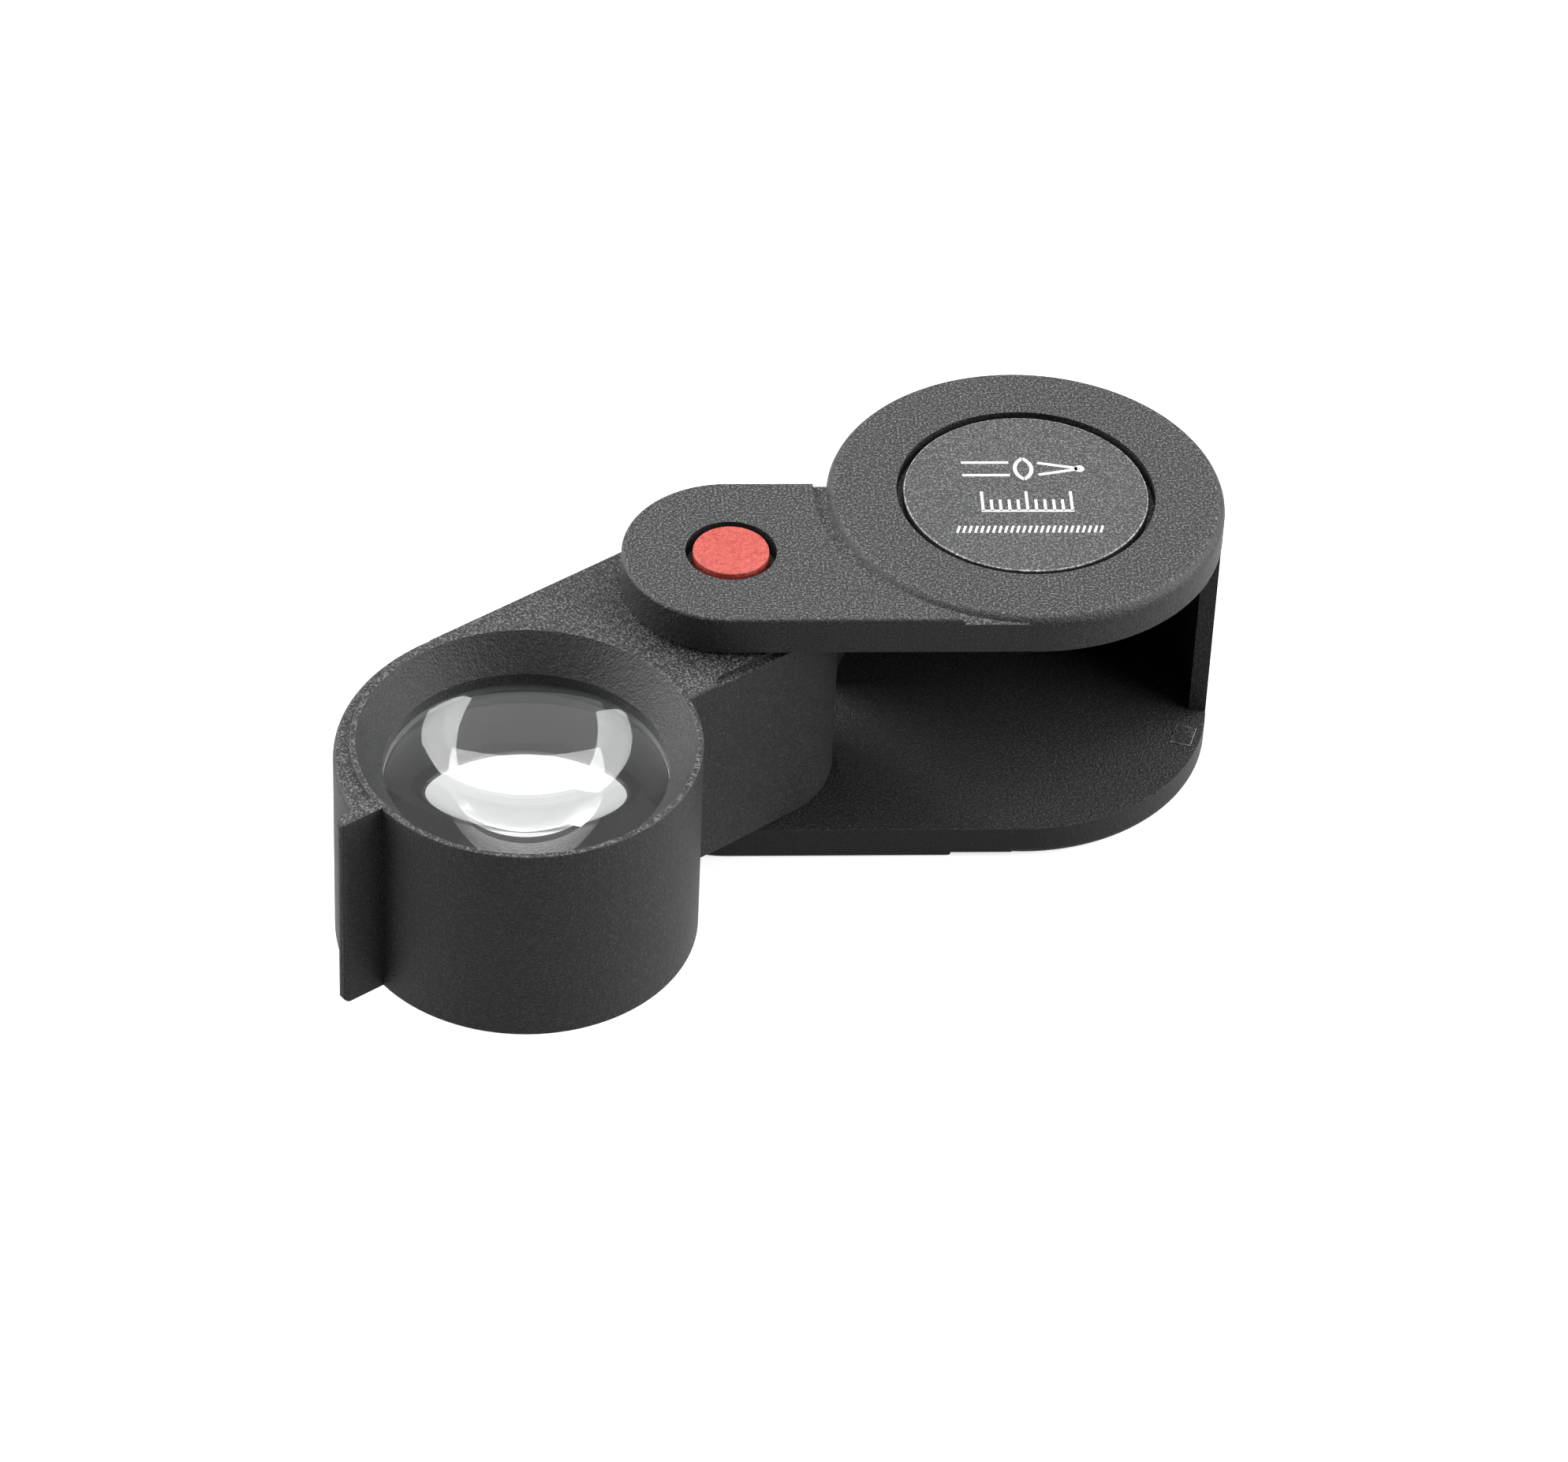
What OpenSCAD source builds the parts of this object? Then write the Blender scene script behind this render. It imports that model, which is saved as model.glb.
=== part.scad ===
// Folding hand lens: a two-cover case and a lens arm that swings out of it about a pivot.
// Origin: on the pivot axis, at the case's resting face. +X runs along the straight front edge,
// +Y to the curved back wall, +Z up through the upper cover. Millimetres.

/* [Case] */
// Height over both covers
case_h = 26; // [25.8:0.1:28]
// Radius of the small round end, about the pivot
pivot_r = 9.1; // [9:0.1:9.6]
// Radius of the large round end, about the lens pocket
disc_r = 16.8; // [16.6:0.1:17.2]
// Distance along X from the pivot to the large end's centre
disc_x = 25.1; // [24.8:0.1:25.4]
// Thickness of the upper cover
upper_t = 3.4; // [3.3:0.1:3.6]
// Thickness of the lower cover
lower_t = 3.1; // [3:0.1:3.3]
// Thickness of the curved back wall
wall_t = 1.45; // [1.3:0.05:1.5]
// Depth of the step between the raised faces and the band that parts them
step_h = 0.5; // [0.45:0.05:0.6]
// Radius, about the large end's centre, at which the pivot pad stops
pad_stop_r = 17.9; // [17.6:0.1:18.1]
// Edge rounding of the large round end
disc_round = 1; // [0.6:0.1:1.2]
// Edge rounding of the pivot pad
pad_round = 0.35; // [0.2:0.05:0.45]
// Radius of the inset discs
inset_r = 10.3; // [10:0.05:10.5]
// Gap round the inset discs
inset_gap = 0.6; // [0.4:0.05:0.7]

/* [Lens arm] */
// Angle by which the arm is swung out from closed
open_angle = 144.5; // [0:0.1:250]
// Half width of the arm
arm_r = 9.25; // [9.1:0.05:9.3]
// Outer radius of the lens barrel
barrel_r = 14.35; // [14.2:0.05:14.4]
// Distance along X from the pivot to the barrel's centre, closed
barrel_x = 25.5; // [25.3:0.05:25.5]
// Distance along Y from the pivot to the barrel's centre, closed
barrel_y = 6.1; // [6:0.05:6.15]
// How far the arm's guard stands out of the case's front, closed
guard_out = 0.1; // [0:0.05:0.2]
// Height by which the barrel's rim stands over the arm
rim_h = 0.4; // [0.3:0.05:0.4]
// Free height between the arm and each cover
arm_gap = 0.25; // [0.2:0.05:0.3]
// How far the thumb tab stands out from the barrel
tab_out = 3.8; // [3.2:0.1:4]
// Thickness of the thumb tab at its root
tab_t = 1.6; // [1.4:0.1:1.8]

/* [Lenses] */
// Radius of both lenses
lens_r = 12.25; // [12:0.05:12.3]
// Edge thickness of both lenses
lens_edge = 0.8; // [0.6:0.1:1.2]
// Curvature radius of the inward faces, the outward ones being flat
lens_curve = 24; // [22:0.5:28]
// Clear radius of the seat in front of the upper lens
seat_r = 11.65; // [11.4:0.05:11.8]
// Clear radius of the ring behind the lower lens
ring_r = 10.5; // [9.5:0.1:11]

/* [Pivot] */
// Radius of the shoulder that the arm turns on
pin_r = 2.5; // [2.2:0.1:2.6]
// Running clearance between shoulder and bushes, on the radius
pin_clear = 0.06; // [0.03:0.01:0.09]
// Radius of the hole round the red cap
cap_hole_r = 3.82; // [3.7:0.02:4]
// Radius of the red cap
cap_r = 3.27; // [3.2:0.01:3.4]
// Height by which the cap's crown stands over the pad
cap_proud = 0.15; // [0:0.05:0.3]

/* [Hidden] */
$fn = 96;
disc_y = disc_r - pivot_r;
disc_c = [disc_x, disc_y, 0];
roof_z = case_h - upper_t;
floor_z = lower_t;
inset_depth = 1.4;
inset_low = 0.15;
wall_start = -5.2;
wall_end = 172;
tongue_w = 0.65;
tongue_h = 1.2;
joint_gap = 0.05;

arm_z0 = floor_z + arm_gap;
barrel_z0 = floor_z + 0.1;
rim_z = roof_z - 0.15;
arm_z1 = rim_z - rim_h;
edge_round = 0.4;
web_trim = 1;
tab_y = barrel_y - 0.05;
rebate_w = 0.7;
rebate_h = 0.4;
rebate_x = 8.4;

funnel_r = barrel_r - 0.5;
funnel_h = 2.85;
seat_z = 18.5;
bore_r = lens_r + 0.1;
thread_r = 13;
ring_z1 = 6.75;
ring_z0 = arm_z0 + 0.1;
ring_lip = 0.8;
cushion_t = 0.2;
lower_lens_z = ring_z1 + cushion_t;
spacer_r = 11.6;
seat_clear = 0.01;

head_z = case_h - 1.8;
head_r = 2.75;
head_t = 0.8;
bush_r = 3.5;
flange_r = 4.6;
flange_t = 0.8;
bush_l = 6;
washer_r = 6;
well_z = arm_z1 - 0.75;
insert_r = 2.4;
insert_z = 0.9;
thread_pin_r = 1.5;
detent_angle = -18.5;
detent_size = [1.8, 2.4, 0.9];
detent_proud = 0.08;
boss_r = 5.6;

case_black = [0.13, 0.13, 0.135];
ring_black = [0.06, 0.06, 0.065];
glass = [0.85, 0.9, 0.92, 0.4];
steel = [0.62, 0.63, 0.65];
brass = [0.75, 0.6, 0.3];
cap_red = [0.82, 0.2, 0.17];
acetal = [0.85, 0.84, 0.8];

// Depth of a lens's curved face at radius r, from its crown
function crown_drop(r) = lens_curve - sqrt(lens_curve * lens_curve - r * r);

// Points of an arc, angles in degrees
function arc(c, r, a0, a1, n = 6) =
    [for (i = [0 : n]) c + r * [cos(a0 + (a1 - a0) * i / n), sin(a0 + (a1 - a0) * i / n)]];

// Half section of a round plate of radius r and height t with its low outer edge rounded by f
function plate_half(r, t, f) =
    concat([[0, 0]], arc([r - f, f], f, -90, 0), [[r, t], [0, t]]);

// The same with a wall of height h standing on its upper face, flush with its edge
function walled_half(r, t, f, h) =
    concat([[0, 0]], arc([r - f, f], f, -90, 0),
           [[r, t + h], [r - wall_t, t + h], [r - wall_t, t], [0, t]]);

// Half section of a round plate with both outer edges rounded
function drum_half(r, z0, z1, f) =
    concat([[0, z0]], arc([r - f, z0 + f], f, -90, 0), arc([r - f, z1 - f], f, 0, 90), [[0, z1]]);

// Whole section of a straight bar of half width w with its low edges rounded
function plate_bar(w, t, f) =
    concat(arc([w - f, f], f, -90, 0), [[w, t], [-w, t]], arc([f - w, f], f, 180, 270));

// Whole section of a straight bar with all four edges rounded
function drum_bar(w, z0, z1, f) =
    concat(arc([w - f, z0 + f], f, -90, 0), arc([w - f, z1 - f], f, 0, 90),
           arc([f - w, z1 - f], f, 90, 180), arc([f - w, z0 + f], f, 180, 270));

// Half of a turned solid, on the side of -X
module half_round(section) {
    rotate([0, 0, 90]) rotate_extrude(angle = 180) polygon(section);
}

// A section in Y and Z, run along +X
module bar_x(length, section) {
    rotate([90, 0, 90]) linear_extrude(length) polygon(section);
}

// A flat ring or tube between two radii and two heights
module ring(r0, r1, z0, z1) {
    rotate_extrude() translate([r0, z0]) square([r1 - r0, z1 - z0]);
}

// A tube's part between two angles
module ring_part(r0, r1, z0, z1, a0, a1) {
    rotate([0, 0, a0]) rotate_extrude(angle = a1 - a0) translate([r0, z0]) square([r1 - r0, z1 - z0]);
}

// The large round end of a cover, outer face at z = 0
module round_end(t) {
    translate(disc_c) rotate_extrude() polygon(plate_half(disc_r, t, disc_round));
}

// The same with the back wall standing on it
module walled_end(t) {
    wall_h = roof_z - floor_z;
    translate(disc_c) difference() {
        rotate_extrude() polygon(walled_half(disc_r, t, disc_round, wall_h));
        ring_part(disc_r - wall_t - 1, disc_r + 1, t, t + wall_h + 1, wall_end, 360 + wall_start);
    }
}

// The pad over the pivot, which runs into the round end
module pivot_pad(t) {
    half_round(plate_half(pivot_r, t, pad_round));
    difference() {
        bar_x(disc_x - web_trim, plate_bar(pivot_r, t, pad_round));
        translate(disc_c - [0, 0, 1]) cylinder(r = pad_stop_r, h = 1 + step_h);
    }
}

// Recess for an inset disc, from the outer face of a cover
module inset_recess() {
    translate(disc_c - [0, 0, 1]) cylinder(r = inset_r + inset_gap, h = 1 + inset_depth);
}

// Turns what is modelled outer face down into the place of the upper cover
module as_upper() {
    translate([0, 0, case_h]) mirror([0, 0, 1]) children();
}

module upper_shell() {
    color(case_black) difference() {
        union() {
            as_upper() {
                walled_end(upper_t);
                pivot_pad(upper_t);
            }
            translate(disc_c)
                ring_part(disc_r - wall_t / 2 - tongue_w / 2, disc_r - wall_t / 2 + tongue_w / 2,
                          floor_z - tongue_h, floor_z + 1, wall_start + 2, wall_end - 2);
        }
        as_upper() inset_recess();
        translate([0, 0, head_z]) cylinder(r = cap_hole_r, h = 5);
        translate([0, 0, roof_z - 1]) cylinder(r = pin_r + joint_gap, h = 5);
    }
}

module lower_shell() {
    groove_w = tongue_w + 2 * joint_gap;
    color(case_black) difference() {
        union() {
            round_end(lower_t);
            pivot_pad(lower_t);
        }
        inset_recess();
        translate(disc_c)
            ring_part(disc_r - wall_t / 2 - groove_w / 2, disc_r - wall_t / 2 + groove_w / 2,
                      floor_z - tongue_h - joint_gap, floor_z + 1, wall_start + 1.8, wall_end - 1.8);
        translate([0, 0, insert_z]) cylinder(r = insert_r, h = 5);
        detent_block(joint_gap, floor_z + 1);
    }
}

module inset_disc() {
    translate(disc_c + [0, 0, inset_low]) cylinder(r = inset_r, h = inset_depth - inset_low);
}

module label_disc() {
    color(case_black) as_upper() inset_disc();
}

module base_disc() {
    color(case_black) inset_disc();
}

// The sprung tongue's block under the guard's path, grown by a gap on its four sides
module detent_block(grow, top_z) {
    translate([disc_x, disc_y, floor_z - detent_size[2]]) rotate([0, 0, detent_angle])
        translate([disc_r - 0.6 - detent_size[0] - grow, -detent_size[1] / 2 - grow, 0])
            cube([detent_size[0] + 2 * grow, detent_size[1] + 2 * grow,
                  top_z - floor_z + detent_size[2]]);
}

module closing_detent() {
    color(case_black) detent_block(0, floor_z + detent_proud);
}

module pivot_screw() {
    color(steel) difference() {
        union() {
            translate([0, 0, insert_z + 0.2]) cylinder(r = thread_pin_r, h = 5);
            translate([0, 0, floor_z]) cylinder(r = pin_r, h = head_z - floor_z);
            translate([0, 0, head_z]) cylinder(r = head_r, h = head_t);
        }
        translate([-3, -0.3, head_z + head_t - 0.4]) cube([6, 0.6, 1]);
    }
}

module threaded_insert() {
    color(brass) ring(thread_pin_r, insert_r, insert_z, floor_z);
}

module pivot_cap() {
    crown = case_h + cap_proud;
    inner_r = head_r + 0.03;
    edge = 0.12;
    draft = 0.1;
    color(cap_red) rotate_extrude() polygon(concat(
        [[inner_r, head_z + joint_gap], [cap_r, head_z + joint_gap]],
        arc([cap_r - draft - edge, crown - edge - 0.08], edge, 0, 86),
        [[1.5, crown - 0.03], [0, crown], [0, head_z + head_t], [inner_r, head_z + head_t]]));
}

module lower_washer() {
    color(steel) ring(pin_r + 0.1, washer_r, floor_z, arm_z0 - 0.03);
}

module upper_washer() {
    color(steel) ring(pin_r + 0.1, washer_r, well_z + 0.03, well_z + 0.28);
}

// A conical spring washer, pressed between the upper washer and the upper cover
module spring_washer() {
    leaf = 0.28;
    color(steel) rotate_extrude() polygon([
        [pin_r + 0.15, roof_z - leaf], [pin_r + 0.15, roof_z],
        [5.6, well_z + 0.28 + leaf], [5.6, well_z + 0.28]]);
}

// Places what is modelled closed at the swung-out angle
module swung() {
    rotate([0, 0, -open_angle]) children();
}

// The same, about the barrel's axis
module at_barrel() {
    swung() translate([barrel_x, barrel_y, 0]) children();
}

// The wall that closes the case's front, round the case's own centre
module arm_guard() {
    intersection() {
        translate(disc_c)
            rotate_extrude() polygon(drum_half(disc_r + guard_out, arm_z0, arm_z1, edge_round));
        translate([disc_x - 1 - web_trim, -20, 0]) cube([30, 20 + tab_y - tab_t / 2, case_h]);
    }
}

module thumb_tab() {
    tip_r = 0.55;
    tip_x = barrel_r + tab_out - tip_r;
    end_round = 0.6;
    end_x = barrel_r + tab_out - end_round;
    root_x = barrel_r - 1;
    intersection() {
        translate([barrel_x, tab_y, barrel_z0]) linear_extrude(rim_z - barrel_z0)
            polygon(concat([[root_x, -tab_t]], arc([tip_x, -tip_r], tip_r, -80, 90), [[root_x, 0]]));
        translate([barrel_x, tab_y + 1, 0]) rotate([90, 0, 0]) linear_extrude(tab_t + 2)
            polygon(concat([[root_x - 1, barrel_z0]],
                           arc([end_x, barrel_z0 + end_round], end_round, -90, 0),
                           arc([end_x, rim_z - end_round], end_round, 0, 90),
                           [[root_x - 1, rim_z]]));
    }
}

// Half section of everything that the barrel is hollow for
function bore_half() = [
    [0, barrel_z0 - 1], [thread_r, barrel_z0 - 1], [thread_r, ring_z1], [bore_r, ring_z1],
    [bore_r, seat_z], [seat_r, seat_z], [seat_r, rim_z - funnel_h],
    [funnel_r + (funnel_r - seat_r) / funnel_h, rim_z + 1], [0, rim_z + 1]];

// The rebate along the arm's inner edge and round its pivot end
module arm_rebate() {
    z0 = arm_z1 - rebate_h;
    half_round([[arm_r - rebate_w, z0], [arm_r + 1, z0], [arm_r + 1, arm_z1 + 1],
                [arm_r - rebate_w, arm_z1 + 1]]);
    translate([0, arm_r - rebate_w, z0]) cube([rebate_x - rebate_w, rebate_w + 1, rebate_h + 1]);
    translate([rebate_x - rebate_w, arm_r, z0]) cylinder(r = rebate_w, h = rebate_h + 1);
}

// Moulding cores in the arm's underside, between the pivot boss and the barrel
module arm_cores() {
    skin = 1.6;
    rib = 1.2;
    reach = 12;
    depth = 14;
    translate([0, 0, arm_z0 - 1]) linear_extrude(depth + 1) difference() {
        translate([1, skin - arm_r]) square([reach, 2 * (arm_r - skin)]);
        circle(r = boss_r);
        translate([barrel_x, barrel_y]) circle(r = barrel_r);
        translate([0, -rib / 2]) square([reach + 2, rib]);
    }
}

module lens_housing() {
    color(case_black) swung() difference() {
        union() {
            half_round(drum_half(arm_r, arm_z0, arm_z1, edge_round));
            bar_x(disc_x - web_trim, drum_bar(arm_r, arm_z0, arm_z1, edge_round));
            arm_guard();
            translate([barrel_x, barrel_y, 0])
                rotate_extrude() polygon(drum_half(barrel_r, barrel_z0, rim_z, 0.15));
            thumb_tab();
        }
        translate([barrel_x, barrel_y, 0]) rotate_extrude() polygon(bore_half());
        cylinder(r = bush_r, h = case_h);
        translate([0, 0, well_z - flange_t]) cylinder(r = flange_r, h = 5);
        translate([0, 0, well_z]) cylinder(r = washer_r + 0.3, h = 5);
        translate([0, 0, arm_z0 - 1]) cylinder(r = flange_r, h = 1 + flange_t);
        arm_rebate();
        arm_cores();
    }
}

module bush(z0, z1, flange_z) {
    color(acetal) difference() {
        union() {
            translate([0, 0, z0]) cylinder(r = bush_r, h = z1 - z0);
            translate([0, 0, flange_z]) cylinder(r = flange_r, h = flange_t);
        }
        cylinder(r = pin_r + pin_clear, h = case_h);
    }
}

module upper_bush() {
    bush(well_z - flange_t - bush_l, well_z, well_z - flange_t);
}

module lower_bush() {
    bush(arm_z0, arm_z0 + flange_t + bush_l, arm_z0);
}

// A flat-backed lens: its flat face up at z = 0, its curved face down
module lens() {
    crown = lens_edge + crown_drop(lens_r);
    intersection() {
        translate([0, 0, -crown - 1]) cylinder(r = lens_r, h = crown + 1);
        translate([0, 0, lens_curve - crown]) sphere(r = lens_curve, $fn = 240);
    }
}

module upper_lens() {
    color(glass) at_barrel() translate([0, 0, seat_z]) lens();
}

module lower_lens() {
    color(glass) at_barrel() translate([0, 0, lower_lens_z]) mirror([0, 0, 1]) lens();
}

// Tube between the lenses, its ends coned to sit on their curved faces
module lens_spacer() {
    cone = crown_drop(lens_r) - crown_drop(spacer_r);
    z0 = lower_lens_z + lens_edge + seat_clear;
    z1 = seat_z - lens_edge - seat_clear;
    color(ring_black) at_barrel() rotate_extrude() polygon([
        [lens_r, z0], [lens_r, z1], [spacer_r, z1 - cone], [spacer_r, z0 + cone]]);
}

module cushion_ring() {
    color(ring_black) at_barrel() ring(ring_r + 0.1, lens_r, ring_z1, lower_lens_z);
}

module retaining_ring() {
    slot_w = 1.6;
    color(ring_black) at_barrel() difference() {
        rotate_extrude() polygon([[ring_r, ring_z1], [thread_r, ring_z1], [thread_r, ring_z0],
                                  [thread_r - 0.6, ring_z0], [seat_r, ring_z0 + ring_lip],
                                  [ring_r, ring_z1 - ring_lip]]);
        for (turn = [0, 180]) rotate([0, 0, turn])
            translate([seat_r - 1, -slot_w / 2, ring_z0 - 1]) cube([3, slot_w, 2]);
    }
}

upper_shell();
lower_shell();
label_disc();
base_disc();
closing_detent();
pivot_screw();
threaded_insert();
pivot_cap();
lower_washer();
upper_washer();
spring_washer();
lens_housing();
upper_bush();
lower_bush();
upper_lens();
lens_spacer();
lower_lens();
cushion_ring();
retaining_ring();
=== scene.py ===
"""Looks of the folding hand lens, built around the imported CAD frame, in metres and in its frame."""
import math

import bmesh
import bpy
from mathutils import Matrix, Vector


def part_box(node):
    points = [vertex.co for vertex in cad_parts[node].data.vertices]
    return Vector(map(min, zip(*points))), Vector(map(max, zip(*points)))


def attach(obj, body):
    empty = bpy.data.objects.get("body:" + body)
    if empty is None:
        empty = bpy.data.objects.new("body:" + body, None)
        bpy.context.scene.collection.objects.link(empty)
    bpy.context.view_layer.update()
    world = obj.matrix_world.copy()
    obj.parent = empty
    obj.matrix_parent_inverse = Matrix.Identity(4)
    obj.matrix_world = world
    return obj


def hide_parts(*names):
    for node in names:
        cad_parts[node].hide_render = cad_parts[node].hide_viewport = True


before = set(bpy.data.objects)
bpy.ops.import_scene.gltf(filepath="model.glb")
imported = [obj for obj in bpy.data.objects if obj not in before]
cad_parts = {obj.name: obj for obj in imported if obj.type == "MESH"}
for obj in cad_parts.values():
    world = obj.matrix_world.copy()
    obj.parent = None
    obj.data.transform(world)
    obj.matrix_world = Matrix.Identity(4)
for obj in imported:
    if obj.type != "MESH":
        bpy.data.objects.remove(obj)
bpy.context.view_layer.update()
MM = 0.001

# ---------------------------------------------------------------- places taken from the frame


def middle(node):
    low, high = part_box(node)
    return (low + high) / 2


def radius_of(node):
    low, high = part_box(node)
    return (high.x - low.x) / 2


# ---------------------------------------------------------------- camera

CAMERA_TARGET = Vector((3.32, -22.96, 26.0)) * MM
CAMERA_DISTANCE = 532.1 * MM
CAMERA_ELEVATION = math.radians(40.60)
CAMERA_HEADING = math.radians(4.37)
CAMERA_ROLL = math.radians(2.61)
CAMERA_LENS = 152.25


def make_camera():
    """The camera, aimed by its heading and elevation, with the small roll that it was held at."""
    forward = Vector((math.sin(CAMERA_HEADING) * math.cos(CAMERA_ELEVATION),
                      math.cos(CAMERA_HEADING) * math.cos(CAMERA_ELEVATION),
                      -math.sin(CAMERA_ELEVATION)))
    right = Vector((math.cos(CAMERA_HEADING), -math.sin(CAMERA_HEADING), 0))
    up = right.cross(forward)
    rolled_right = right * math.cos(CAMERA_ROLL) + up * math.sin(CAMERA_ROLL)
    rolled_up = up * math.cos(CAMERA_ROLL) - right * math.sin(CAMERA_ROLL)
    data = bpy.data.cameras.new("camera")
    data.lens = CAMERA_LENS
    data.sensor_width = 36
    data.clip_start = 0.02
    data.clip_end = 20
    camera = bpy.data.objects.new("camera", data)
    bpy.context.scene.collection.objects.link(camera)
    turn = Matrix((rolled_right, rolled_up, -forward)).transposed()
    camera.matrix_world = Matrix.Translation(CAMERA_TARGET - forward * CAMERA_DISTANCE) @ turn.to_4x4()
    bpy.context.scene.camera = camera


make_camera()

# ---------------------------------------------------------------- node helpers


class Shader:
    """A small builder for one material's nodes."""

    def __init__(self, name):
        self.material = bpy.data.materials.new(name)
        self.material.use_nodes = True
        self.tree = self.material.node_tree
        self.tree.nodes.clear()
        self.out = self.add("ShaderNodeOutputMaterial")
        self.coord = self.add("ShaderNodeTexCoord").outputs["Object"]

    def add(self, kind, **values):
        node = self.tree.nodes.new(kind)
        for key, value in values.items():
            setattr(node, key, value)
        return node

    def link(self, a, b):
        self.tree.links.new(a, b)

    def noise(self, scale_per_mm, detail=2.0, roughness=0.5):
        node = self.add("ShaderNodeTexNoise")
        node.inputs["Scale"].default_value = scale_per_mm / MM
        node.inputs["Detail"].default_value = detail
        node.inputs["Roughness"].default_value = roughness
        self.link(self.coord, node.inputs["Vector"])
        return node.outputs["Fac"]

    def math(self, operation, a, b):
        node = self.add("ShaderNodeMath", operation=operation)
        for socket, value in zip(node.inputs, (a, b)):
            if isinstance(value, (int, float)):
                socket.default_value = value
            else:
                self.link(value, socket)
        return node.outputs[0]

    def ramp(self, factor, low, high, at_low, at_high):
        node = self.add("ShaderNodeMapRange")
        self.link(factor, node.inputs["Value"])
        node.inputs["From Min"].default_value = low
        node.inputs["From Max"].default_value = high
        node.inputs["To Min"].default_value = at_low
        node.inputs["To Max"].default_value = at_high
        return node.outputs["Result"]

    def level(self):
        """1 on faces that lie level, 0 on upright ones."""
        parts = self.add("ShaderNodeSeparateXYZ")
        self.link(self.add("ShaderNodeNewGeometry").outputs["Normal"], parts.inputs[0])
        return self.math("ABSOLUTE", parts.outputs["Z"], 0.0)

    def mix_color(self, factor, a, b):
        node = self.add("ShaderNodeMix", data_type="RGBA")
        self.link(factor, node.inputs[0])
        for socket, value in ((node.inputs[6], a), (node.inputs[7], b)):
            if isinstance(value, tuple):
                socket.default_value = (*value, 1)
            else:
                self.link(value, socket)
        return node.outputs[2]

    def bump(self, height, strength, distance_mm):
        node = self.add("ShaderNodeBump")
        node.inputs["Strength"].default_value = strength
        node.inputs["Distance"].default_value = distance_mm * MM
        self.link(height, node.inputs["Height"])
        return node.outputs["Normal"]

    def principled(self, **values):
        node = self.add("ShaderNodeBsdfPrincipled")
        for key, value in values.items():
            socket = node.inputs[key.replace("_", " ")]
            if hasattr(value, "is_linked"):
                self.link(value, socket)
            elif isinstance(value, tuple):
                socket.default_value = (*value, 1)
            else:
                socket.default_value = value
        return node

    def finish(self, shader):
        self.link(shader, self.out.inputs["Surface"])
        return self.material


# ---------------------------------------------------------------- materials

BLACK = (0.003, 0.0032, 0.0032)
# Grey of the rounded edges: partly wear, partly painted edge highlight.
WEAR_AND_HIGHLIGHT_GREY = (0.22, 0.22, 0.215)


def eroded_plastic(name, dark, light, rough_low=0.46, rough_high=0.58):
    """Black plastic with a fine spark-eroded grain. Its light flecks are strongest on level faces as painted
    sheen, and its rounded edges go grey in patches, partly wear and partly painted edge highlight.
    """
    s = Shader(name)
    grain_fine = s.noise(5.5, detail=2, roughness=0.6)
    grain_coarse = s.noise(2.2, detail=2)
    height = s.math("ADD", grain_fine, s.math("MULTIPLY", grain_coarse, 0.5))
    normal = s.bump(height, 1.0, 0.1)
    # Level faces get the most light flecks: painted sheen that makes the tops look lit from above.
    painted_level_sheen = s.ramp(s.level(), 0.78, 0.97, 0.2, 1.0)
    grain_and_sheen_flecks = s.math("MULTIPLY", s.ramp(grain_fine, 0.48, 0.70, 0.0, 1.0), painted_level_sheen)
    base = s.mix_color(grain_and_sheen_flecks, dark, light)
    # Rounded edges go grey in patches: partly wear, partly painted edge highlight.
    edge_wear_and_highlight = s.add("ShaderNodeAttribute", attribute_name="edge_wear_and_highlight").outputs["Fac"]
    patchy = s.ramp(s.noise(3.5, detail=3, roughness=0.7), 0.45, 0.7, 0.12, 1.0)
    color = s.mix_color(s.math("MULTIPLY", edge_wear_and_highlight, patchy), base, WEAR_AND_HIGHLIGHT_GREY)
    cloud = s.noise(0.05, detail=3)
    rough = s.ramp(cloud, 0.3, 0.7, rough_low, rough_high)
    return s.finish(s.principled(Base_Color=color, Roughness=rough, Normal=normal,
                                 Specular_IOR_Level=0.13).outputs[0])


def leathery_red(name):
    """The red cap's plastic: crossing shallow wrinkles over a fine grain. Its colour is darker in the
    wrinkles' dips and lighter on their ridges, partly its own tone and partly painted shade.
    """
    s = Shader(name)
    wrinkles = s.noise(1.6, detail=5, roughness=0.7)
    grain = s.noise(5.0, detail=2)
    height = s.math("ADD", wrinkles, s.math("MULTIPLY", grain, 0.5))
    normal = s.bump(height, 1.0, 0.14)
    # The colour follows the wrinkles' height: painted shade in their dips, over the plastic's own tone.
    tone = s.math("ADD", s.math("MULTIPLY", wrinkles, 0.5), s.math("MULTIPLY", grain, 0.5))
    color = s.mix_color(s.ramp(tone, 0.38, 0.62, 0, 1), (0.092, 0.0075, 0.0055), (0.150, 0.022, 0.016))
    rough = s.ramp(wrinkles, 0.3, 0.7, 0.38, 0.5)
    return s.finish(s.principled(Base_Color=color, Roughness=rough, Normal=normal,
                                 Specular_IOR_Level=0.2).outputs[0])


def flat_black(name):
    """Blackened inner rings, with faint turning marks."""
    s = Shader(name)
    normal = s.bump(s.noise(5.0, detail=2), 0.2, 0.003)
    color = s.mix_color(s.noise(0.8, detail=3), (0.005, 0.005, 0.0055), (0.009, 0.009, 0.0095))
    return s.finish(s.principled(Base_Color=color, Roughness=0.6, Normal=normal,
                                 Specular_IOR_Level=0.25).outputs[0])


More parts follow.
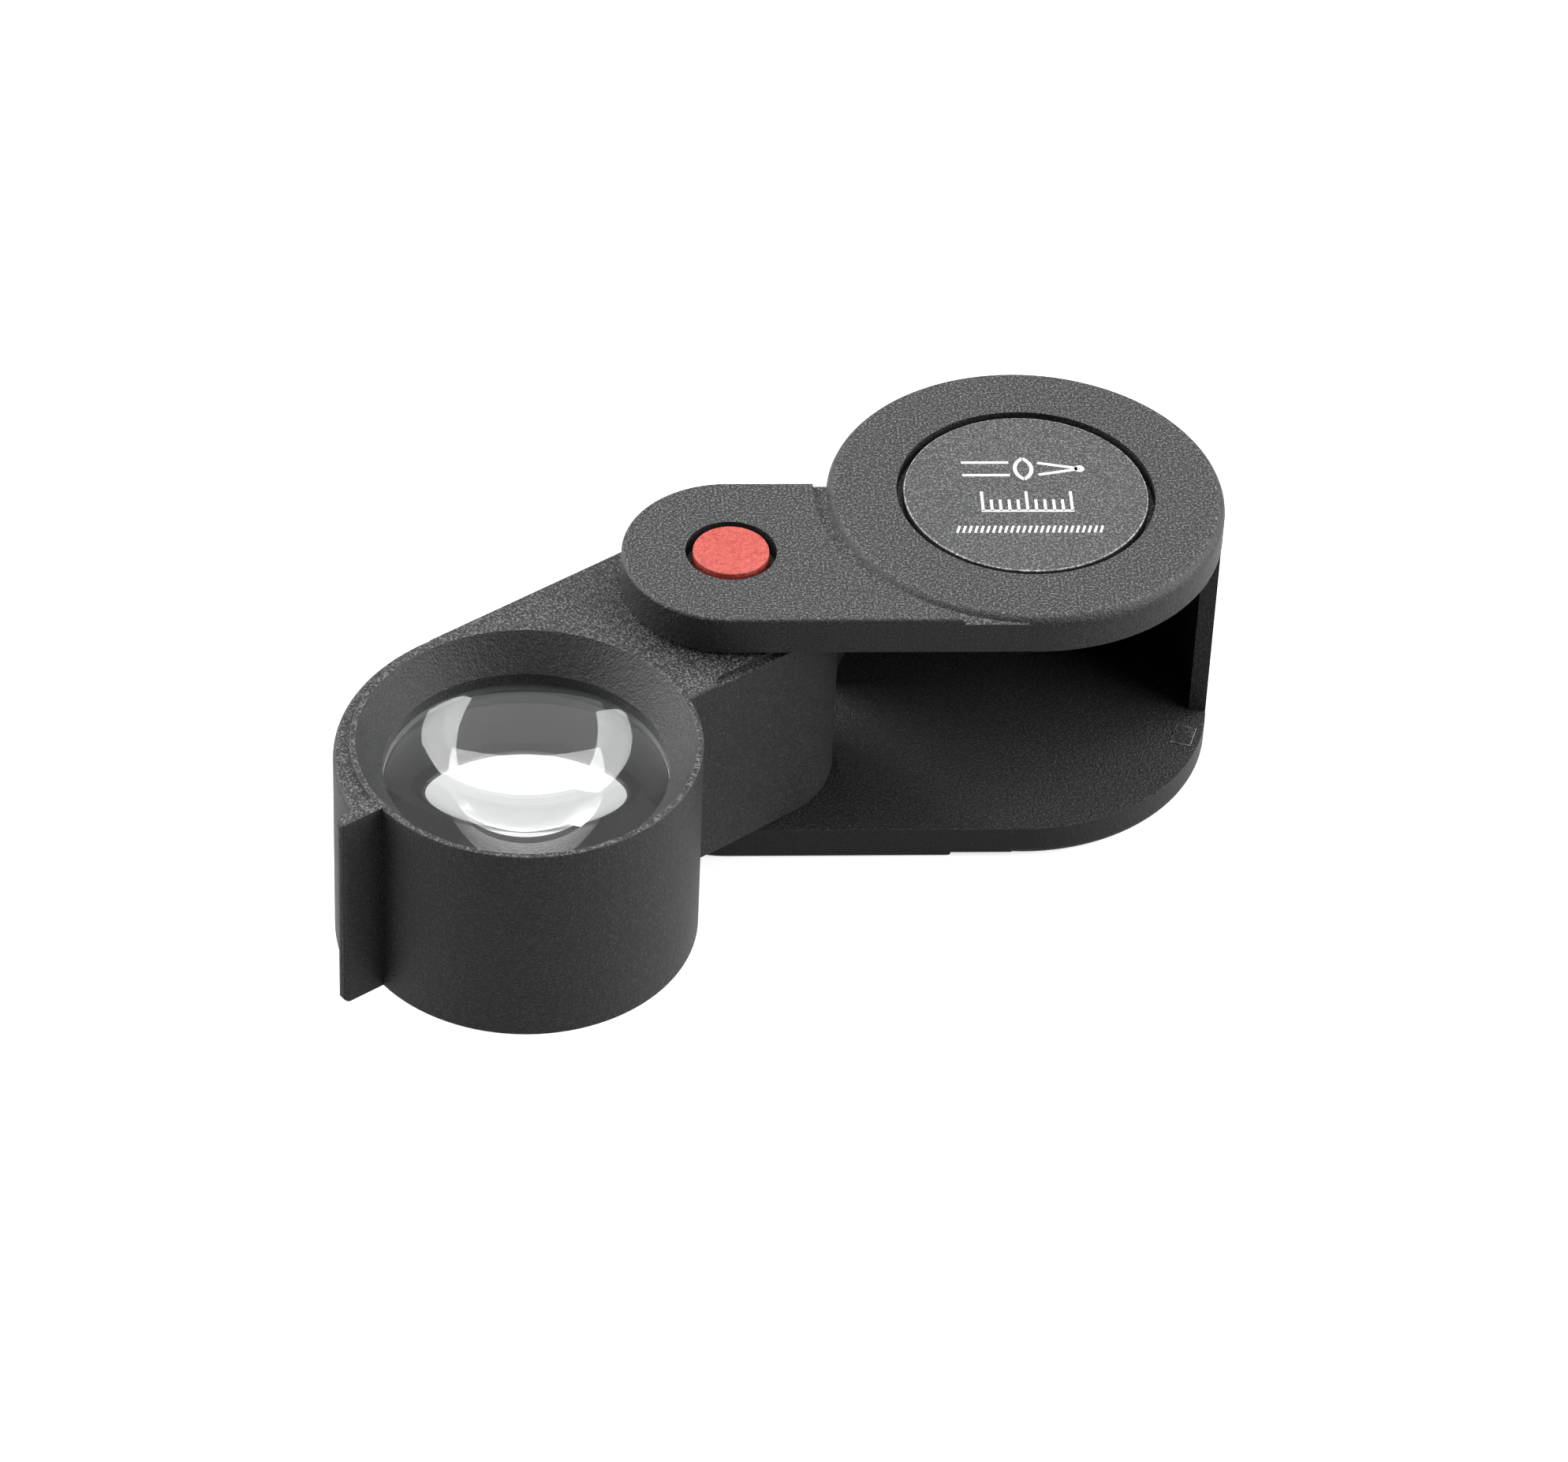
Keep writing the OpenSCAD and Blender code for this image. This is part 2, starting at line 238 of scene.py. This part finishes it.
def turned_metal(name, tint_low, tint_high):
    """Metal with faint streaks from turning."""
    s = Shader(name)
    streaks = s.noise(3.0, detail=4)
    color = s.mix_color(streaks, tint_low, tint_high)
    rough = s.ramp(streaks, 0.3, 0.7, 0.25, 0.4)
    return s.finish(s.principled(Base_Color=color, Roughness=rough, Metallic=1.0,
                                 Normal=s.bump(streaks, 0.2, 0.01)).outputs[0])


def acetal(name):
    """Natural off-white acetal."""
    s = Shader(name)
    color = s.mix_color(s.noise(0.6, detail=3), (0.74, 0.72, 0.66), (0.80, 0.78, 0.73))
    return s.finish(s.principled(Base_Color=color, Roughness=0.4,
                                 Normal=s.bump(s.noise(4.0), 0.2, 0.01)).outputs[0])


def optical_glass(name):
    """Clear glass that lets lamps through to what lies under it."""
    s = Shader(name)
    smear = s.ramp(s.noise(0.12, detail=3), 0.35, 0.8, 0.0, 0.01)
    body = s.principled(Base_Color=(0.99, 1.0, 0.995), Roughness=smear, IOR=1.52,
                        Transmission_Weight=1.0)
    clear = s.add("ShaderNodeBsdfTransparent")
    clear.inputs["Color"].default_value = (0.99, 1.0, 0.995, 1)
    shadow = s.add("ShaderNodeLightPath").outputs["Is Shadow Ray"]
    mix = s.add("ShaderNodeMixShader")
    s.link(shadow, mix.inputs[0])
    s.link(body.outputs[0], mix.inputs[1])
    s.link(clear.outputs[0], mix.inputs[2])
    return s.finish(mix.outputs[0])


def print_white(name):
    """Slightly speckled white ink."""
    s = Shader(name)
    speckle = s.ramp(s.noise(6.0, detail=3), 0.3, 0.7, 0.0, 1.0)
    color = s.mix_color(speckle, (0.17, 0.17, 0.168), (0.22, 0.22, 0.218))
    return s.finish(s.principled(Base_Color=color, Roughness=0.55,
                                 Normal=s.bump(s.noise(7.0, detail=3), 0.3, 0.02)).outputs[0])


CASE = eroded_plastic("case_plastic", BLACK, (0.052, 0.052, 0.051))
# A darker copy of the case plastic: painted shade for the lower shell's cavity and the closing detent.
SHADED_CASE = eroded_plastic("shaded_case_plastic", BLACK, (0.022, 0.022, 0.0215))
LABEL = eroded_plastic("label_plastic", (0.010, 0.0105, 0.0105), (0.058, 0.058, 0.057), 0.38, 0.48)
RED = leathery_red("cap_red")
RING = flat_black("ring_black")
STEEL = turned_metal("turned_steel", (0.55, 0.55, 0.56), (0.65, 0.65, 0.66))
BRASS = turned_metal("turned_brass", (0.68, 0.5, 0.24), (0.78, 0.6, 0.32))
ACETAL = acetal("acetal")
GLASS = optical_glass("optical_glass")
PRINT = print_white("print_white")

# ---------------------------------------------------------------- mesh helpers


def new_piece(name, bm, material, body, smooth=True):
    """Makes an object of a bmesh, with its material and body."""
    mesh = bpy.data.meshes.new(name)
    bm.to_mesh(mesh)
    bm.free()
    mesh.polygons.foreach_set("use_smooth", [smooth] * len(mesh.polygons))
    mesh.materials.append(material)
    piece = bpy.data.objects.new(name, mesh)
    bpy.context.scene.collection.objects.link(piece)
    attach(piece, body)
    return piece


def softened(node, name, material, body, width_mm, steps=2, corner_deg=28):
    """A copy of a CAD node with its corner edges rounded, and the rounded faces marked for the grey that
    stands partly for wear and partly for painted edge highlight.
    """
    bm = bmesh.new()
    bm.from_mesh(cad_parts[node].data)
    edge_wear_and_highlight = bm.faces.layers.float.new("edge_wear_and_highlight")
    bmesh.ops.remove_doubles(bm, verts=bm.verts, dist=1e-7)
    bmesh.ops.dissolve_limit(bm, angle_limit=math.radians(0.4), verts=bm.verts, edges=bm.edges)
    corners = [e for e in bm.edges if len(e.link_faces) == 2
               and e.calc_face_angle(0) > math.radians(corner_deg)]
    result = bmesh.ops.bevel(bm, geom=corners, offset=width_mm * MM, offset_type="OFFSET",
                             segments=steps, profile=0.5, affect="EDGES", clamp_overlap=True)
    for face in result["faces"]:
        face[edge_wear_and_highlight] = 1.0
    piece = new_piece(name, bm, material, body)
    weighted = piece.modifiers.new("weighted", "WEIGHTED_NORMAL")
    weighted.weight = 100
    weighted.keep_sharp = False
    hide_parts(node)
    return piece


def sharpen(piece, corner_deg):
    """Marks the edges sharper than an angle, so that smooth shading stops at them."""
    bm = bmesh.new()
    bm.from_mesh(piece.data)
    for edge in bm.edges:
        edge.smooth = len(edge.link_faces) == 2 and edge.calc_face_angle(0) < math.radians(corner_deg)
    bm.to_mesh(piece.data)
    bm.free()


def lathe(name, profile, center, material, body, steps=192):
    """A turned solid: profile is a closed list of (radius, height) in metres, heights in the frame."""
    bm = bmesh.new()
    rings = []
    for r, z in profile:
        if r < 1e-9:
            rings.append([bm.verts.new((center.x, center.y, z))])
        else:
            rings.append([bm.verts.new((center.x + r * math.cos(2 * math.pi * k / steps),
                                        center.y + r * math.sin(2 * math.pi * k / steps), z))
                          for k in range(steps)])
    pairs = list(zip(rings, rings[1:] + rings[:1]))
    for a, b in pairs:
        for k in range(steps):
            n = (k + 1) % steps
            corners = [a[k % len(a)], a[n % len(a)], b[n % len(b)], b[k % len(b)]]
            unique = list(dict.fromkeys(corners))
            if len(unique) >= 3:
                bm.faces.new(unique)
    bmesh.ops.recalc_face_normals(bm, faces=bm.faces)
    return new_piece(name, bm, material, body)


# ---------------------------------------------------------------- mouldings and the retaining ring

# node, ending of the piece's name, material, body, slot, width of the rounding in millimetres
SOFTENED = [
    ("upper_shell", "moulding", CASE, "case", "case", 0.12),
    ("lower_shell", "moulding", SHADED_CASE, "case", "case", 0.12),
    ("lens_housing", "moulding", CASE, "lens_arm", "case", 0.10),
    ("label_disc", "moulding", LABEL, "case", "label", 0.10),
    ("base_disc", "moulding", CASE, "case", "case", 0.10),
    ("closing_detent", "moulding", SHADED_CASE, "case", "case", 0.05),
    ("pivot_cap", "moulding", RED, "case", "cap", 0.04),
    ("retaining_ring", "turned", RING, "lens_arm", "ring", 0.06),
]
for node, ending, material, body, slot, width_mm in SOFTENED:
    softened(node, f"{node}_{ending}", material, body, width_mm)

# ---------------------------------------------------------------- lenses

LENS_CURVE = 24 * MM
LENS_EDGE = 0.8 * MM
EDGE_BEVEL = 0.12 * MM
LENS_CLEARANCE = 0.002 * MM
CURVE_STEPS = 48


def lens_profile(node, outward):
    """The turned section of a flat-backed lens, with a fine bevel at its edge. outward is +1 up, -1 down."""
    low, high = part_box(node)
    r = radius_of(node) - LENS_CLEARANCE
    flat = high.z if outward > 0 else low.z
    depth = LENS_CURVE - math.sqrt(LENS_CURVE ** 2 - r ** 2)
    rim_r = r - EDGE_BEVEL
    points = [(0, flat), (rim_r * 0.5, flat), (rim_r, flat), (r, flat - outward * EDGE_BEVEL),
              (r, flat - outward * (LENS_EDGE - EDGE_BEVEL / 2))]
    for k in range(CURVE_STEPS, -1, -1):
        x = rim_r * k / CURVE_STEPS
        points.append((x, flat - outward * (LENS_EDGE + depth - LENS_CURVE
                                            + math.sqrt(LENS_CURVE ** 2 - x ** 2))))
    return points


def make_lens(node, outward):
    piece = lathe(node + "_glass", lens_profile(node, outward), middle(node), GLASS, "lens_arm")
    sharpen(piece, 20)
    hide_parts(node)


make_lens("upper_lens", 1)
make_lens("lower_lens", -1)

# ---------------------------------------------------------------- print on the label disc

INK = 0.012 * MM


class Ink:
    """Flat white marks in the label's plane: x to the right, y to the back, in mm from its middle."""

    def __init__(self):
        self.bm = bmesh.new()
        low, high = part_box("label_disc")
        self.origin = Vector(((low.x + high.x) / 2, (low.y + high.y) / 2, high.z))

    def shape(self, points):
        lower = [self.bm.verts.new(self.origin + Vector((x * MM, y * MM, -INK))) for x, y in points]
        upper = [self.bm.verts.new(v.co + Vector((0, 0, 2 * INK))) for v in lower]
        self.bm.faces.new(upper)
        self.bm.faces.new(lower[::-1])
        for k in range(len(points)):
            n = (k + 1) % len(points)
            self.bm.faces.new((lower[k], lower[n], upper[n], upper[k]))

    def stroke(self, a, b, width):
        a, b = Vector(a), Vector(b)
        side = (b - a).normalized() * (width / 2)
        side = Vector((-side.y, side.x))
        self.shape([a - side, b - side, b + side, a + side])

    def arc(self, center, radius, width, start, end, steps=28):
        turn = [math.radians(start + (end - start) * k / steps) for k in range(steps + 1)]
        outer_r = radius + width / 2
        inner_r = radius - width / 2
        outer = [(center[0] + outer_r * math.cos(t), center[1] + outer_r * math.sin(t)) for t in turn]
        inner = [(center[0] + inner_r * math.cos(t), center[1] + inner_r * math.sin(t)) for t in turn]
        for k in range(steps):
            self.shape([inner[k], outer[k], outer[k + 1], inner[k + 1]])


def ray_diagram(ink, y):
    """A lens glyph with two rays that meet behind it."""
    height, width, bold = 1.4, 0.7, 0.32
    ray_start, ray_end, ray_y, ray_width = -5.2, -1.2, 0.85, 0.3
    bent_start, bent_end, bent_y, meeting_y = 1.25, 4.6, 0.8, 0.06
    dot_x, dot_radius, dot_width = 4.75, 0.26, 0.34
    radius = (height ** 2 + width ** 2) / (2 * width)
    half = math.degrees(math.asin(height / radius))
    ink.arc((width - radius, y), radius, bold, -half, half)
    ink.arc((radius - width, y), radius, bold, 180 - half, 180 + half)
    for side in (-1, 1):
        ink.stroke((ray_start, y + side * ray_y), (ray_end, y + side * ray_y), ray_width)
        ink.stroke((bent_start, y + side * bent_y), (bent_end, y + side * meeting_y), ray_width)
    ink.arc((dot_x, y), dot_radius, dot_width, 0, 360)


def scale_bar(ink, y):
    """A graduated bar, every fifth mark long."""
    bar_half, bar_width = 3.9, 0.26
    first_mark, span, intervals, mark_width = -3.75, 7.5, 10, 0.24
    long_mark, short_mark = 2.6, 1.5
    ink.stroke((-bar_half, y), (bar_half, y), bar_width)
    for k in range(intervals + 1):
        x = first_mark + span * k / intervals
        ink.stroke((x, y), (x, y + (long_mark if k % 5 == 0 else short_mark)), mark_width)


def fine_row(ink, y):
    """A fine hatched row."""
    count, first, span = 25, -6.0, 12.0
    lean, half_height, stroke_width = 0.13, 0.45, 0.2
    for k in range(count):
        x = first + span * k / (count - 1)
        ink.stroke((x - lean, y - half_height), (x + lean, y + half_height), stroke_width)


def make_print():
    ink = Ink()
    ray_diagram(ink, 3.3)
    scale_bar(ink, -2.35)
    fine_row(ink, -4.8)
    new_piece("label_print", ink.bm, PRINT, "case", smooth=False)


make_print()

# ---------------------------------------------------------------- materials of the CAD nodes that stay

KEPT = {
    "pivot_screw": STEEL, "lower_washer": STEEL, "upper_washer": STEEL, "spring_washer": STEEL,
    "threaded_insert": BRASS, "upper_bush": ACETAL, "lower_bush": ACETAL, "lens_spacer": RING,
    "cushion_ring": RING,
}
for node, material in KEPT.items():
    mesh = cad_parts[node].data
    mesh.materials.clear()
    mesh.materials.append(material)

# ---------------------------------------------------------------- stage and light

FLOOR_HALF = 3.0
FLOOR_DROP = 0.02 * MM
FLOOR_GLOW = 0.72


def make_floor():
    """A pale table that glows softly, so that it stays white under modest lamps."""
    bm = bmesh.new()
    bmesh.ops.create_grid(bm, x_segments=2, y_segments=2, size=FLOOR_HALF)
    mesh = bpy.data.meshes.new("floor")
    bm.to_mesh(mesh)
    bm.free()
    s = Shader("floor_paper")
    tone = s.mix_color(s.noise(0.01, detail=2), (0.17, 0.17, 0.17), (0.19, 0.19, 0.19))
    mesh.materials.append(s.finish(s.principled(Base_Color=tone, Roughness=0.9, Specular_IOR_Level=0.1,
                                                Emission_Color=(1.0, 1.0, 1.0),
                                                Emission_Strength=FLOOR_GLOW).outputs[0]))
    floor = bpy.data.objects.new("floor", mesh)
    floor.location.z = -FLOOR_DROP
    bpy.context.scene.collection.objects.link(floor)


def soft_box(name, place, aim, width, height, power):
    """A rectangular soft light, in metres and watts."""
    data = bpy.data.lights.new(name, "AREA")
    data.shape = "RECTANGLE"
    data.size, data.size_y = width, height
    data.energy = power
    light = bpy.data.objects.new(name, data)
    light.location = place
    light.rotation_euler = (Vector(aim) - Vector(place)).to_track_quat("-Z", "Y").to_euler()
    bpy.context.scene.collection.objects.link(light)


def make_world(level):
    world = bpy.data.worlds.new("studio")
    world.use_nodes = True
    world.node_tree.nodes["Background"].inputs["Color"].default_value = (1, 1, 1, 1)
    world.node_tree.nodes["Background"].inputs["Strength"].default_value = level
    bpy.context.scene.world = world


make_floor()
make_world(0.08)
soft_box("back_box", (0.0, 0.40, 0.75), (0, 0, 0), 1.7, 0.55, 28.0)
soft_box("back_low_box", (0.0, 0.624, 0.577), (0, 0, 0), 1.7, 0.1, 0.5)
soft_box("top_box", (0.0, -0.22, 0.77), (0, 0, 0), 2.0, 0.8, 8.0)
soft_box("left_box", (-0.66, 0.18, 0.34), (0, 0, 0.01), 1.0, 0.62, 34.0)
soft_box("right_box", (0.66, -0.04, 0.34), (0, 0, 0.01), 1.0, 0.62, 34.0)
bpy.context.scene.view_settings.view_transform = "Standard"
